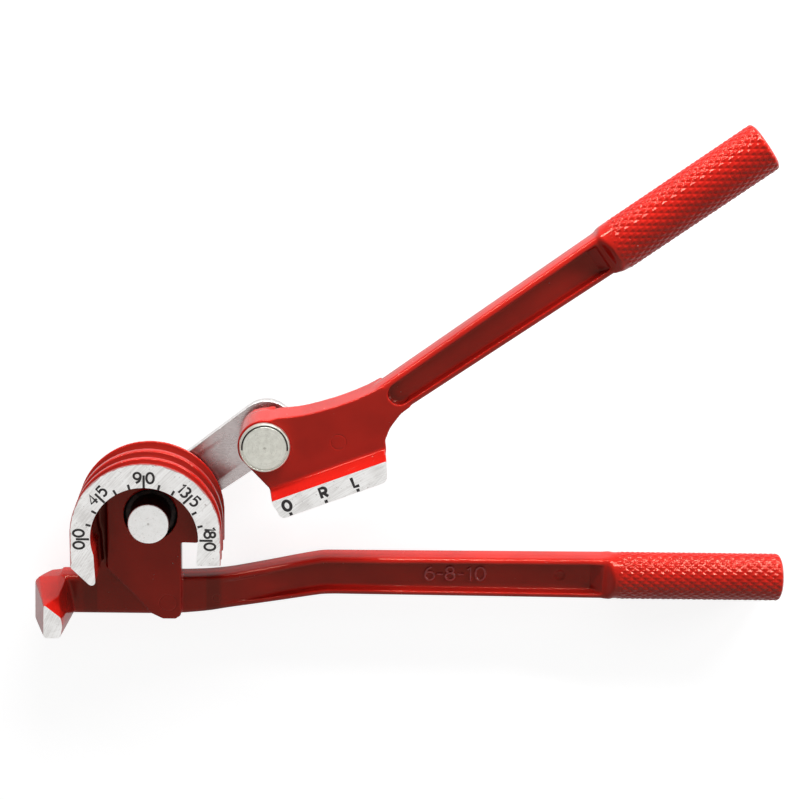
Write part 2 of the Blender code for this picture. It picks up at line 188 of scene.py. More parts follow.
# Bare metal where both castings were faced on a mill after painting: pale, with the long curved
# scratches of the cutter, and a ragged edge of paint round its rim.
milled = Finish("milled_face", IOR=2.0)
swing = milled.away(190.0, -150.0)
side = milled.away(-140.0, 210.0)
swept = milled.node("ShaderNodeCombineXYZ", None, {"X": swing, "Y": side * 0.04})
crossed = milled.node("ShaderNodeCombineXYZ", None, {"X": side, "Y": swing * 0.05})
scratch = milled.node("ShaderNodeTexNoise", None, {"Vector": swept, "Scale": 2.4, "Detail": 3.0})
cross = milled.node("ShaderNodeTexNoise", None, {"Vector": crossed, "Scale": 1.7, "Detail": 3.0})
patch = milled.grain(0.16, 4.0)
streak = scratch * 0.45 + cross * 0.2 + patch * 0.35
bare = milled.mix(streak.between(0.36, 0.60), (0.74, 0.72, 0.70), (0.98, 0.97, 0.955))
pits = milled.grain(1.1, 2.0).between(0.69, 0.72)
bare = milled.mix(pits * 0.55, bare, (0.30, 0.25, 0.24))
reach = milled.from_wheel()
rim_paint = (reach + milled.grain(0.35, 3.0) * 1.4).between(32.65, 32.85) * (1.0 - reach.between(33.0, 34.0))
bare = milled.mix(rim_paint * 0.75, bare, (0.60, 0.10, 0.09))
milled_face = milled.drive(
    Base_Color=bare,
    Metallic=1.0 - rim_paint * 0.6,
    Roughness=0.36 + streak * 0.22,
    Normal=milled.bump(scratch * 0.6 + cross * 0.4, 0.012),
)

# The counterbore behind the wheel's pin was cut after painting too. Its mottled near black is painted shade for the
# deep hollow.
shade_finish = Finish("greased_bore", Metallic=0.6, IOR=1.5)
shade_mottle = shade_finish.grain(0.5, 3.0, stretch=(1, 1, 3))
greased_bore = shade_finish.drive(
    Base_Color=shade_finish.mix(shade_mottle.between(0.4, 0.7), (0.012, 0.008, 0.007), (0.05, 0.03, 0.025)),
    Roughness=0.35 + shade_mottle * 0.3,
    Normal=shade_finish.bump(shade_mottle, 0.03),
)


wheel_low, wheel_high = 12.85, 45.85
bar_low, bar_high = 3.85, 16.85
handle_thick, recess_deep, recess_lip, shoulder_round = 13.0, 4.5, 2.6, 2.1
tube_grooves = ((3.0, 41.85), (4.0, 31.85), (5.0, 19.25))    # radius and height of each
rim_radius, cast_bore, wheel_bore, ring_middle = 32.5, 18.0, 23.2, (-0.5, -1.6)
web_radius, pad_high = 24.6, 19.85
pin_hole, counterbore, counterbore_floor = 6.3, 11.7, 17.35
milling_stock = 0.7
mould_grain, mould_passes = 0.45, 5    # how finely the castings are shaped, and how often softened


def put(name, data):
    """Stand an object with the given data in the scene."""
    thing = bpy.data.objects.new(name, data)
    bpy.context.collection.objects.link(thing)
    return thing


def shift(x, y, z):
    """A move by millimetres."""
    return Matrix.Translation((x * mm, y * mm, z * mm))


def solid(name, mesh):
    """Make an object of a bmesh, closed and facing out."""
    bmesh.ops.recalc_face_normals(mesh, faces=mesh.faces)
    data = bpy.data.meshes.new(name)
    mesh.to_mesh(data)
    mesh.free()
    return put(name, data)


def loft(name, sections):
    """Carry a closed section through a row of stations."""
    mesh = bmesh.new()
    corners = [mesh.verts.new(Vector(point) * mm) for point in sections[0]]
    face = mesh.faces.new(corners)
    for station, section in enumerate(sections[1:]):
        grown = bmesh.ops.extrude_face_region(mesh, geom=[face])
        risen = {item for item in grown["geom"] if isinstance(item, bmesh.types.BMVert)}
        after = [next(edge.other_vert(old) for edge in old.link_edges if edge.other_vert(old) in risen)
                 for old in corners]
        if station:
            bmesh.ops.delete(mesh, geom=[face], context="FACES_ONLY")
        face = next(item for item in grown["geom"] if isinstance(item, bmesh.types.BMFace))
        for vert, point in zip(after, section):
            vert.co = Vector(point) * mm
        corners = after
    return solid(name, mesh)


def slab(name, outline, low, high, draft=0.0):
    """A flat piece of a given outline; draft draws its upper rim in towards the middle."""
    middle = Vector((sum(x for x, y in outline), sum(y for x, y in outline), 0)) / len(outline)
    top = []
    for x, y in outline:
        inward = (middle - Vector((x, y, 0))).normalized() * draft
        top.append((x + inward.x, y + inward.y, high))
    return loft(name, [[(x, y, low) for x, y in outline], top])


def lathe(name, profile, steps, axis="Z", sweep=2 * pi):
    """Spin a profile of (radius, height) points about the Z or the X axis."""
    mesh = bmesh.new()
    if axis == "Z":
        points = [Vector((radius, 0, height)) for radius, height in profile]
    else:
        points = [Vector((height, radius, 0)) for radius, height in profile]
    line = [mesh.verts.new(point * mm) for point in points]
    edges = [mesh.edges.new(pair) for pair in zip(line, line[1:])]
    if profile[0][0] or profile[-1][0]:
        edges.append(mesh.edges.new((line[-1], line[0])))
    whole = sweep > 2 * pi - 0.001
    bmesh.ops.spin(mesh, geom=line + edges, cent=(0, 0, 0), dvec=(0, 0, 0), angle=sweep, steps=steps,
                   axis=(0, 0, 1) if axis == "Z" else (1, 0, 0), use_merge=whole, use_duplicate=False)
    bmesh.ops.remove_doubles(mesh, verts=mesh.verts, dist=0.001 * mm)
    if not whole:
        bmesh.ops.holes_fill(mesh, edges=[edge for edge in mesh.edges if edge.is_boundary], sides=0)
    return solid(name, mesh)


def arc(centre, radius, start, end, steps):
    """Points along an arc between two angles."""
    turns = [start + (end - start) * step / steps for step in range(steps + 1)]
    return [(centre[0] + radius * cos(turn), centre[1] + radius * sin(turn)) for turn in turns]


def eased(stations, parts=5):
    """More stations along a smooth curve through the given ones."""
    points = [Vector(station) for station in stations]
    padded = [2 * points[0] - points[1], *points, 2 * points[-1] - points[-2]]
    curve = []
    for before, start, end, after in zip(padded, padded[1:], padded[2:], padded[3:]):
        for part in range(parts):
            t = part / parts
            curve.append(0.5 * (2 * start + (end - before) * t + (2 * before - 5 * start + 4 * end - after) * t ** 2
                                + (3 * start - before - 3 * end + after) * t ** 3))
    return curve + [points[-1]]


def combine(body, other, operation):
    """Join another solid to a body, take it away, or keep only what both hold."""
    step = body.modifiers.new(other.name, "BOOLEAN")
    step.operation, step.object, step.solver = operation, other, "EXACT"


def settled(thing):
    """The mesh of an object as its modifiers leave it."""
    return bpy.data.meshes.new_from_object(thing.evaluated_get(bpy.context.evaluated_depsgraph_get()))


def cast(name, joined, removed, share):
    """Fuse solids, take others away, and soften every corner as a mould and thick paint do."""
    body = joined[0]
    for other in joined[1:]:
        combine(body, other, "UNION")
    for other in removed:
        combine(body, other, "DIFFERENCE")
    shell = body.modifiers.new("shell", "REMESH")
    shell.mode, shell.voxel_size = "VOXEL", mould_grain * mm
    soft = body.modifiers.new("soft", "SMOOTH")
    soft.factor, soft.iterations = 0.5, mould_passes
    body.modifiers.new("thin", "DECIMATE").ratio = share
    data = settled(body)
    for used in joined + removed:
        bpy.data.objects.remove(used, do_unlink=True)
    data.name = name
    return put(name, data)


def face_off(casting, height):
    """Mill a casting flat at a height and leave the cut bare."""
    mesh = bmesh.new()
    mesh.from_mesh(casting.data)
    everything = mesh.verts[:] + mesh.edges[:] + mesh.faces[:]
    cut = bmesh.ops.bisect_plane(mesh, geom=everything, dist=0.001 * mm, plane_co=(0, 0, height * mm),
                                 plane_no=(0, 0, 1), clear_outer=True, clear_inner=False)
    rim = [item for item in cut["geom_cut"] if isinstance(item, bmesh.types.BMEdge)]
    filled = bmesh.ops.holes_fill(mesh, edges=rim, sides=0)
    flat = bmesh.ops.triangulate(mesh, faces=filled["faces"], ngon_method="EAR_CLIP")
    for face in mesh.faces:
        face.smooth = True
    for face in flat["faces"]:
        face.smooth = False
        face.material_index = 1
    for edge in rim:
        if edge.is_valid:
            edge.smooth = False
    mesh.to_mesh(casting.data)
    mesh.free()
    even = casting.modifiers.new("even", "WEIGHTED_NORMAL")
    even.keep_sharp, even.weight = True, 80
    casting.data = settled(casting)
    casting.modifiers.remove(even)


def wheel_section(side, y):
    """Section of the wheel's ring, before it is bored, on one side of the axis."""
    points = [(cast_bore, wheel_high + milling_stock), (rim_radius, wheel_high + milling_stock)]
    for radius, height in tube_grooves:
        points += [(rim_radius - radius * sin(turn), height + radius * cos(turn))
                   for turn in (pi * step / 16 for step in range(17))]
    points += [(rim_radius, wheel_low), (cast_bore, wheel_low)]
    return [(side * radius, y, height) for radius, height in points]


ring = lathe("ring", [(x, z) for x, y, z in wheel_section(1, 0)], 120, sweep=pi)
left_leg = loft("left_leg", [wheel_section(-1, 0.3), wheel_section(-1, -23.8)])
right_leg = loft("right_leg", [wheel_section(1, 0.3), wheel_section(1, -13.8)])
inside = lathe("inside", [(0, 8), (wheel_bore, 8), (wheel_bore, 50), (0, 50)], 120)
inside.data.transform(shift(*ring_middle, 0))
left_shape = slab("left_shape", [(-40, 2), (-40, -7.7)] + arc((-23.45, -21.85), 1.7, 1.25 * pi, 2 * pi, 8)
                  + [(-22.5, -7.6), (-22.5, 2)], wheel_low - 2, wheel_high + 2)
right_shape = slab("right_shape", [(40, 2), (21.6, 2), (22.6, -3.0), (21.7, -16), (40, -16)], wheel_low - 2,
                   wheel_high + 2)
combine(left_leg, left_shape, "INTERSECT")
combine(right_leg, right_shape, "INTERSECT")
for limb in (ring, left_leg, right_leg):
    combine(limb, inside, "DIFFERENCE")

pad_outline = [(-19.6, -25.8), (-6.4, -39.6), (-0.2, -47.2), (5.1, -49.8), (10.85, -49.8), (13.0, -48.3),
               (13.5, -46.4), (13.5, -13.2), (20.8, -13.2)]
pad_outline += arc((0, 0), web_radius, -0.566, 2.488, 30)[1:]
pad = slab("pad", pad_outline, wheel_low, pad_high, 0.2)
web_outline = [(-32.4, -30.8), (-31.8, -15.6)] + arc((0, 0), web_radius, pi, -0.566, 30)
web_outline += [(13.5, -13.2), (13.5, -39.0), (-32.4, -39.0)]
web = slab("web", web_outline, wheel_low, bar_high - 0.15)
hook_front = [(-44.2, -33.2), (-37.1, -39.2), (-36.6, -42.4), (-37.3, -47.3), (-38.2, -48.5), (-43.8, -48.5),
              (-44.7, -47.4)]
hook_step = [(-42.3, -32.5), (-38.9, -32.3), (-36.2, -40.0)]
hook_root = [(-52.1, -33.2), (-50.2, -31.0), (-41.3, -30.5), (-34.9, -47.8), (-52.2, -47.2)]
hook_back = [(-38.0, -31.6), (-34.9, -47.8), (-46.0, -47.8), (-46.5, -40.0)]
mesh = bmesh.new()
for level, places in ((wheel_high + milling_stock, hook_front), (36.4, hook_step), (bar_high, hook_root),
                      (bar_low, hook_back), (24.85, [(-51.3, -48.0)]), (6.9, [(-45.8, -31.5)]),
                      (11.8, [(-48.7, -31.5), (-51.5, -47.4)]), (15.1, [(-52.0, -33.2)])):
    for x, y in places:
        mesh.verts.new((x * mm, y * mm, level * mm))
bmesh.ops.convex_hull(mesh, input=mesh.verts)
hook = solid("hook", mesh)


def bar_section(x, y, height, depth, low=bar_low):
    """Section across a handle: round shoulders, draft on its sides and a recess in each face."""
    half, lip = height / 2, height / 2 - recess_lip
    high, middle = low + handle_thick, low + handle_thick / 2
    side_draft, recess_draft = 0.15, 0.7
    shoulder = [(half - side_draft - shoulder_round + a, b - shoulder_round)
                for a, b in arc((0, 0), shoulder_round, 0, pi / 2, 4)]
    front = [(side, high + rise) for side, rise in shoulder] + [(lip, high), (lip - recess_draft, high - depth)]
    front = [(half, middle), *front, *[(-side, z) for side, z in reversed(front)]]
    back = [(-side, 2 * middle - z) for side, z in front]
    return [(x, y + side, z) for side, z in front + back]


# Stations along the handle: place, middle and height. It bends away from the pad and then runs straight.
crank = [(15.0, -39.0, 16.8), (25.4, -38.1, 16.04), (35.2, -36.6, 15.3), (45.6, -34.7, 15.5), (56.0, -32.7, 15.8),
         (65.0, -30.9, 16.1), (72.9, -29.4, 16.2), (77.4, -28.75, 16.2), (82.6, -28.6, 16.1)]
run = [Vector((-41.0, -39.2, 17.5)), Vector((2.0, -39.2, 17.5))] + eased(crank)
run += [Vector((x, -28.6, 16.1 + 1.3 * (x - 82.6) / 126.9)) for x in (120, 160, 198.2, 203.0, 203.6, 206.5)]
recess_depth = ((31.0, 0.0), (50.0, 2.6), (62.0, recess_deep), (198.2, recess_deep), (203.0, 0.8), (203.6, 0.0))
sections = []
for x, y, height in run:
    depth = 0.0
    for (x0, d0), (x1, d1) in zip(recess_depth, recess_depth[1:]):
        if x0 <= x <= x1:
            depth = d0 + (d1 - d0) * (x - x0) / (x1 - x0)
    shoulders = 1.1 + 0.9 * min(1.0, max(0.0, (x - 15) / 60))    # height that the round shoulders seem to take
    sections.append(bar_section(x, y - 0.2 - shoulders * 0.35, height + shoulders, depth))
bar = loft("bar", sections)

grip_start, grip_length, grip_middle = 208.6, 77.0, -29.45
neck_run, neck_end, neck_steps = 4.6, 5.2, 12    # from before the grip's start to inside the grip


def transition(name, wide, round_half):
    """The short stretch in which a handle turns from a bar into a round grip, along +X to the grip's start."""
    sections = []
    for step in range(neck_steps + 1):
        share = (step / neck_steps) ** 2 * (3 - 2 * step / neck_steps)
        power = 2 / (7 - 5 * share ** 0.6)    # from a rounded oblong to a circle
        half_wide = wide / 2 + (round_half - wide / 2) * share
        half_deep = handle_thick / 2 + (round_half - handle_thick / 2) * share
        along = neck_end if step == neck_steps else step * 0.44 - neck_run
        sections.append([(along, copysign(abs(y) ** power, y) * half_wide, copysign(abs(z) ** power, z) * half_deep)
                         for y, z in arc((0, 0), 1.0, 0.065, 0.065 + 2 * pi * 47 / 48, 47)])
    return loft(name, sections)


neck = transition("neck", 19.6, 10.5)
neck.data.transform(shift(grip_start, grip_middle, 10.7))
pin_bore = lathe("pin_bore", [(0, -2), (pin_hole, -2), (pin_hole, counterbore_floor),
                              (counterbore, counterbore_floor), (counterbore, 50), (0, 50)], 64)
ejector = lathe("ejector", [(0, 11.7), (2.3, 11.7), (2.6, 20), (0, 20)], 32)
ejector.data.transform(shift(184.6, -29.2, 0))

former = cast("lower_casting", [bar, ring, left_leg, right_leg, web, pad, hook, neck], [pin_bore, ejector], 0.40)
for tool in (inside, left_shape, right_shape):
    bpy.data.objects.remove(tool, do_unlink=True)
face_off(former, wheel_high)
former.data.materials.append(red_enamel)
former.data.materials.append(milled_face)
former.data.materials.append(greased_bore)
# The counterbore's faces take the painted shade.
for face in former.data.polygons:
    if hypot(face.center.x, face.center.y) < (counterbore + 0.25) * mm and face.center.z > 17.0 * mm:
        face.material_index = 2
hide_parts("former_casting")
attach(former, "base")


# The knurl on both grips: shallow diamonds that are cast with the handle, so they are rounded
# and full of paint. Twenty-two rows of them wind round the grip each way.

knurl_depth, knurl_pitch, knurl_rows, knurl_crest = 0.42, 4.7, 22, 0.88
fade_in, fade_out, end_round, end_drop, end_dome = 2.5, 1.5, 0.9, 0.6, 0.5    # at the grip's two ends


def knurled_grip(name, grip_radius, place):
    """A closed grip along +X from its start, with the diamonds raised on it."""
    mesh = bmesh.new()
    bmesh.ops.create_grid(mesh, x_segments=230, y_segments=220, size=0.5)
    for vert in mesh.verts:
        along = (vert.co.x + 0.5) * (grip_length - end_dome)
        turn = (vert.co.y + 0.5) * 2 * pi
        rows = knurl_rows * turn / (2 * pi)
        raised = min(1 - abs(2 * (lead % 1) - 1) for lead in (along / knurl_pitch + rows, along / knurl_pitch - rows))
        to_end = grip_length - end_dome - along
        tip = max(0.0, 1 - to_end / end_round)
        fade = max(0.0, min(1.0, (along - 0.5) / fade_in, to_end / fade_out))
        radius = grip_radius - knurl_depth * (1 - min(raised, knurl_crest) * fade / knurl_crest)
        radius -= end_drop * (1 - sqrt(1 - tip ** 2))
        vert.co = Vector((along, radius * cos(turn), radius * sin(turn))) * mm
    bmesh.ops.remove_doubles(mesh, verts=mesh.verts, dist=0.01 * mm)
    for outer_end in (False, True):
        edges = [edge for edge in mesh.edges if edge.is_boundary and (edge.verts[0].co.x > 1 * mm) == outer_end]
        end = bmesh.ops.holes_fill(mesh, edges=edges, sides=0)["faces"]
        bmesh.ops.inset_region(mesh, faces=end, thickness=1.0 * mm, use_even_offset=True)
        if outer_end:
            middle = list({vert for face in end for vert in face.verts})
            bmesh.ops.translate(mesh, verts=middle, vec=(end_dome * mm, 0, 0))
    made = solid(name, mesh)
    made.data.transform(place)
    made.data.shade_smooth()
    made.data.materials.append(red_enamel)
    return made


lower_grip = knurled_grip("lower_grip", 10.75, shift(grip_start, grip_middle, 10.75))
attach(lower_grip, "base")


# The scale on the wheel's face: a short line every 15 degrees from its inner rim, a long line at
# every 45, and the degrees on either side of it. All are cut with one round graver and filled black.

loop = [(0.34 * cos(turn), 0.5 * sin(turn)) for turn in (2 * pi * step / 24 for step in range(24))]
glyphs = {
    "0": [(loop, True)],
    "1": [([(-0.16, 0.30), (0.06, 0.5), (0.06, -0.5)], False)],
    "3": [([(0.27 * cos(turn) - 0.03, 0.25 * sin(turn) + 0.25) for turn in (2.5 - 0.26 * step for step in range(15))]
           + [(0.30 * cos(turn) - 0.03, 0.27 * sin(turn) - 0.23) for turn in (1.3 - 0.26 * step for step in range(15))],
           False)],
    "4": [([(0.14, -0.5), (0.14, 0.5), (-0.37, -0.2), (0.36, -0.2)], False)],
    "5": [([(0.30, 0.5), (-0.20, 0.5), (-0.26, 0.04)]
           + [(0.32 * cos(turn) - 0.01, 0.33 * sin(turn) - 0.17) for turn in (2.2 - 0.28 * step for step in range(17))],
           False)],
    "6": [([(0.32 * cos(turn), 0.31 * sin(turn) - 0.19) for turn in (2 * pi * step / 22 for step in range(22))], True),
          ([(-0.32, -0.17), (-0.29, 0.08), (-0.16, 0.32), (0.12, 0.5)], False)],
    "8": [([(0.25 * cos(turn), 0.23 * sin(turn) + 0.27) for turn in (2 * pi * step / 20 for step in range(20))], True),
          ([(0.32 * cos(turn), 0.27 * sin(turn) - 0.23) for turn in (2 * pi * step / 22 for step in range(22))], True)],
    "O": [([(x * 1.12, y) for x, y in loop], True)],
    "R": [([(-0.28, -0.5), (-0.28, 0.5), (0.06, 0.5)]
           + [(0.27 * cos(turn) + 0.06, 0.27 * sin(turn) + 0.23) for turn in (1.4 - 0.28 * step for step in range(11))]
           + [(-0.28, -0.04)], False), ([(0.02, -0.04), (0.33, -0.5)], False)],
    "L": [([(-0.2, 0.5), (-0.2, -0.5), (0.3, -0.5)], False)],
    "-": [([(-0.2, -0.05), (0.2, -0.05)], False)],
}
glyphs["9"] = [([(-x, -y) for x, y in line], closed) for line, closed in glyphs["6"]]


def set_glyph(glyph, tall, x, y, turn):
    """Lines of one figure or letter, of a given height, at a place and a turn."""
    return [([(x + tall * (a * cos(turn) - b * sin(turn)), y + tall * (a * sin(turn) + b * cos(turn)))
              for a, b in line], closed) for line, closed in glyphs[glyph]]


def graved(name, lines, width, rise, place):
    """Round-ended strokes along lines, as wide and as high as asked."""
    path = bpy.data.curves.new(name, "CURVE")
    path.dimensions, path.use_fill_caps = "3D", True
    path.bevel_depth, path.bevel_resolution = width / 2 * mm, 2
    for line, closed in lines:
        stroke = path.splines.new("POLY")
        stroke.points.add(len(line) - 1)
        stroke.use_cyclic_u = closed
        for point, (x, y) in zip(stroke.points, line):
            point.co = (x * mm, y * mm, 0, 1)
    holder = put(name, path)
    data = settled(holder)
    bpy.data.objects.remove(holder, do_unlink=True)
    data.transform(place @ Matrix.Diagonal((1, 1, 2 * rise / width, 1)))
    data.shade_smooth()
    return put(name, data)


filled = Finish("mark_black", Metallic=0.0)
gone = filled.grain(1.6, 3.0)
mark_black = filled.drive(
    Base_Color=filled.mix(gone.between(0.66, 0.76), (0.010, 0.007, 0.007), (0.09, 0.07, 0.068)),
    Roughness=0.45 + gone * 0.25,
    Normal=filled.bump(gone, 0.02),
)

scale_foot, short_line, long_line, figures_at, figure_tall, figure_step = 23.7, 26.0, 29.4, 28.2, 4.6, 2.5
scale_lines = []
figures = {0: ("0", "0"), 45: ("4", "5"), 90: ("9", "0"), 135: ("13", "5"), 180: ("18", "0")}
for degree in range(0, 181, 15):
    turn = radians(180 - degree)
    ends = (scale_foot, long_line if degree in figures else short_line)
    scale_lines.append(([(radius * cos(turn), radius * sin(turn)) for radius in ends], False))
    for side, text in zip((-1, 1), figures.get(degree, ())):
        outward = text if side > 0 else text[::-1]
        for place, glyph in enumerate(outward):
            off = side * (2.75 + figure_step * place)
            scale_lines += set_glyph(glyph, figure_tall, figures_at * cos(turn) + off * sin(turn),
                                     figures_at * sin(turn) - off * cos(turn), turn - pi / 2)
scale_marks = graved("scale_marks", scale_lines, 1.04, 0.03, shift(-0.4, -2.1, wheel_high))
scale_marks.data.materials.append(mark_black)
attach(scale_marks, "base")


# The three tube sizes stand up from the floor of the recess in the lower handle. They are cast
# with it and painted with it, a little paler where the coat runs thin over their edges.

size_lines = []
for glyph, x in zip("6-8-10", (125.2, 129.9, 134.4, 139.3, 143.4, 148.2)):
    size_lines += set_glyph(glyph, 6.5, x, -28.9, 0.0)
size_numbers = graved("size_numbers", size_lines, 1.45, 0.8, shift(0, 0, bar_high - recess_deep - 0.05))
thin = Finish("thin_enamel", Metallic=0.0, IOR=1.5)
wear = thin.grain(0.5, 3.0)
size_numbers.data.materials.append(thin.drive(
    Base_Color=thin.mix(wear.between(0.35, 0.65), (0.50, 0.045, 0.035), (0.42, 0.02, 0.016)),
    Roughness=0.16 + wear * 0.15,
    Normal=thin.bump(wear, 0.03),
))
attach(size_numbers, "base")


# The upper casting: the shoe with three grooves that press the tube round the wheel, the cheek
# with its eye and boss, and the handle. It is die-cast and painted as the lower one, and the
# shoe's front is milled bare. It is laid out along the shoe and then turned to its place.

link_length, link_turn, lever_turn = 63.8, radians(37.0), radians(21.3)
lever_pivot = Vector((link_length * cos(link_turn), link_length * sin(link_turn), 0)) * mm
at_pivot = Matrix.Translation(lever_pivot)
at_lever = at_pivot @ Matrix.Rotation(lever_turn, 4, "Z")
cheek_high, cheek_low, eye_low = 37.85, 21.85, 17.35
neck_angle = radians(14.75)
along_handle = shift(58.5, 0.9, 0) @ Matrix.Rotation(neck_angle, 4, "Z")
upper_grip_start, upper_grip_height = 113.6, 31.2

shoe_face = wheel_high + milling_stock
shoe_edge, slope_top, slope_root = -31.0, -22.0, -18.6
shoe = loft("shoe", [[(x, shoe_edge, wheel_low), (x, slope_root, wheel_low), (x, slope_root, cheek_high - 1.1),
                      (x, -19.0, cheek_high), (x, slope_top, wheel_high), (x, slope_top, shoe_face),
                      (x, shoe_edge, shoe_face)]
                     for x in (-5.0, 47.8)])
corner_left = slab("corner_left", [(-9, -22.0), (-9, -36), (-1.6, -36)]
                   + arc((-1.5, -28.3), 2.75, -pi / 2, -1.06 * pi, 8) + [(-5.4, -22.0)], wheel_low - 2, wheel_high + 2)
corner_right = slab("corner_right", [(53, -21.0), (47.9, -21.0)] + arc((42.2, -27.5), 3.5, -0.1 * pi, -pi / 2, 8)
                    + [(42.2, -36), (53, -36)], wheel_low - 2, wheel_high + 2)
channels = []
for radius, height in tube_grooves:
    channel = lathe("channel", [(0, -8), (radius, -8), (radius, 51), (0, 51)], 40, axis="X")
    channel.data.transform(shift(0, shoe_edge, height))
    channels.append(channel)

lower_edge = [(46.4, -24.8), (48.8, -18.9), (49.4, -16.1), (51.0, -13.9), (53.7, -11.0), (57.4, -8.4), (60.4, -6.6),
              (65.1, -5.1)]
upper_edge = [(56.4, 7.6), (47.7, 6.4), (34.7, 6.2), (20.8, 7.4), (10.5, 9.9)]
cheek_outline = [(-4.5, -24.8)] + [(p.x, p.y) for p in eased([(x, y, 0) for x, y in lower_edge], 3)]
cheek_outline += [(p.x, p.y) for p in eased([(x, y, 0) for x, y in upper_edge], 4)]
cheek_outline += arc((0, 0), 11.8, radians(62), radians(190), 24) + [(-4.8, -18.9)]
cheek = slab("cheek", cheek_outline, cheek_low, cheek_high)
eye = lathe("eye", [(0, eye_low), (11.6, eye_low), (11.6, cheek_high - 0.4), (0, cheek_high - 0.4)], 72)
heel = slab("heel", [(0, -4.0), (-11.4, 1.0), (-10.6, 4.6), (-1.4, 12.0), (8.1, 10.2), (9.0, 4.0)], eye_low, 25.5, 2.2)
boss = lathe("boss", [(0, wheel_low), (8.6, wheel_low), (8.6, cheek_low), (0, cheek_low)], 64)
lever_bore = lathe("lever_bore", [(0, -2), (pin_hole, -2), (pin_hole, 50), (0, 50)], 48)

handle_low = cheek_high - handle_thick
root_height, height_gained, handle_run = 15.1, 2.9, 115
sections = []
for along, depth in ((-7.0, 0.0), (3.5, 0.0), (5.5, recess_deep), (40.0, recess_deep), (75.0, recess_deep),
                     (103.6, recess_deep), (108.2, 1.0), (108.8, 0.0), (112.0, 0.0)):
    sections.append(bar_section(along, 0.0, root_height + height_gained * along / handle_run, depth, handle_low))
beam = loft("beam", sections)
scoop_outline = [(6.0, -4.2), (6.0, 4.2)] + arc((4.0, 0), 4.9, 0.9, 2 * pi - 0.9, 20)
scoop = slab("scoop", scoop_outline, cheek_high - recess_deep, 50)
scoop_back = slab("scoop_back", scoop_outline, 10, handle_low + recess_deep)
upper_neck = transition("upper_neck", 18.2, 10.9)
upper_neck.data.transform(shift(upper_grip_start, -0.5, upper_grip_height))
for piece in (beam, scoop, scoop_back, upper_neck):
    piece.data.transform(along_handle)

lever = cast("upper_casting", [cheek, shoe, eye, heel, boss, beam, upper_neck],
             [corner_left, corner_right, *channels, lever_bore, scoop, scoop_back], 0.45)
face_off(lever, wheel_high)
lever.data.transform(at_lever)
lever.data.materials.append(red_enamel)
lever.data.materials.append(milled_face)
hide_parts("lever_casting")
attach(lever, "lever")

upper_grip = knurled_grip("upper_grip", 11.2,
                          at_lever @ along_handle @ shift(upper_grip_start, -0.7, upper_grip_height))
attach(upper_grip, "lever")


# The shoe's three marks, for bends that start at the zero line and for right and left ones, cut
# and filled like the scale. A short line at the shoe's edge stands under each letter.

letter_tall, letter_row, tick_foot, tick_top = 4.4, -25.9, -30.7, -29.3
index_lines = []
for letter, place, tick in (("O", 0.6, 0.9), ("R", 17.3, 17.1), ("L", 31.6, 31.7)):
    index_lines += set_glyph(letter, letter_tall, place, letter_row, 0.0)
    index_lines.append(([(tick, tick_foot), (tick, tick_top)], False))
index_marks = graved("index_marks", index_lines, 1.4, 0.03, at_lever @ shift(0, 0, wheel_high))
index_marks.data.materials.append(mark_black)
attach(index_marks, "lever")


# The link is a flat steel plate, blanked and tumbled, so its rims are rounded and its faces have a
# soft satin grain along their length. It is wider at the lever's pin.

link_steel = Finish("link_satin", Metallic=1.0, IOR=2.5)
brushed = link_steel.grain(2.2, 4.0, stretch=(0.3, 1.0, 1.0), turn=(0, 0, -link_turn))
dull = link_steel.grain(0.09, 3.0)
sand = link_steel.grain(3.0, 2.0)
# The steel's grey is tinted faintly pink: a painted reflection of the red castings around it.
satin = link_steel.drive(
    Base_Color=link_steel.mix((brushed * 0.4 + dull * 0.4 + sand * 0.2).between(0.33, 0.67),
                              (0.44, 0.385, 0.375), (0.62, 0.56, 0.55)),
    Roughness=0.16 + dull * 0.16 + sand * 0.06,
    Normal=link_steel.bump(brushed * 0.5 + sand * 0.5, 0.010),
)


def bright_steel(name, x, y, light, dark):
    """Turned steel with rings round its own axis, a small centre mark, specks and stains."""
    steel = Finish(name, Metallic=1.0, IOR=2.6)
    radius = steel.away(x, y)
    rings = steel.node("ShaderNodeTexNoise", {"noise_dimensions": "1D"}, {"W": radius, "Scale": 3.2, "Detail": 2.0})
    stain = steel.grain(0.45, 4.0)
    specks = steel.grain(2.0, 2.0).between(0.64, 0.70)
    centre = 1.0 - radius.between(0.35, 0.75)
    worn = (stain * 0.4 + rings * 0.3 + specks * 0.1 + 0.12).between(0.32, 0.66)
    colour = steel.mix(worn, dark, light)
    colour = steel.mix(specks * 0.45 + centre * 0.5, colour, (0.22, 0.20, 0.17))
    return steel.drive(
        Base_Color=colour,
        Roughness=0.26 + stain * 0.22 + specks * 0.1,
        Normal=steel.bump(rings * 0.25 + stain * 0.6 - specks * 0.3 - centre, 0.035),
    )


def rounded(thing, offset):
    """Round the sharp edges of a piece and keep its flats flat."""
    sharp = 0.6
    mesh = bmesh.new()
    mesh.from_mesh(thing.data)
    rims = [edge for edge in mesh.edges if edge.is_manifold and edge.calc_face_angle() > sharp]
    bmesh.ops.bevel(mesh, geom=rims, offset=offset * mm, offset_type="OFFSET", segments=3, profile=0.5,
                    affect="EDGES", clamp_overlap=True, material=-1)
    for face in mesh.faces:
        face.smooth = True
    for edge in mesh.edges:
        edge.smooth = not edge.is_manifold or edge.calc_face_angle() < sharp
    mesh.to_mesh(thing.data)
    mesh.free()


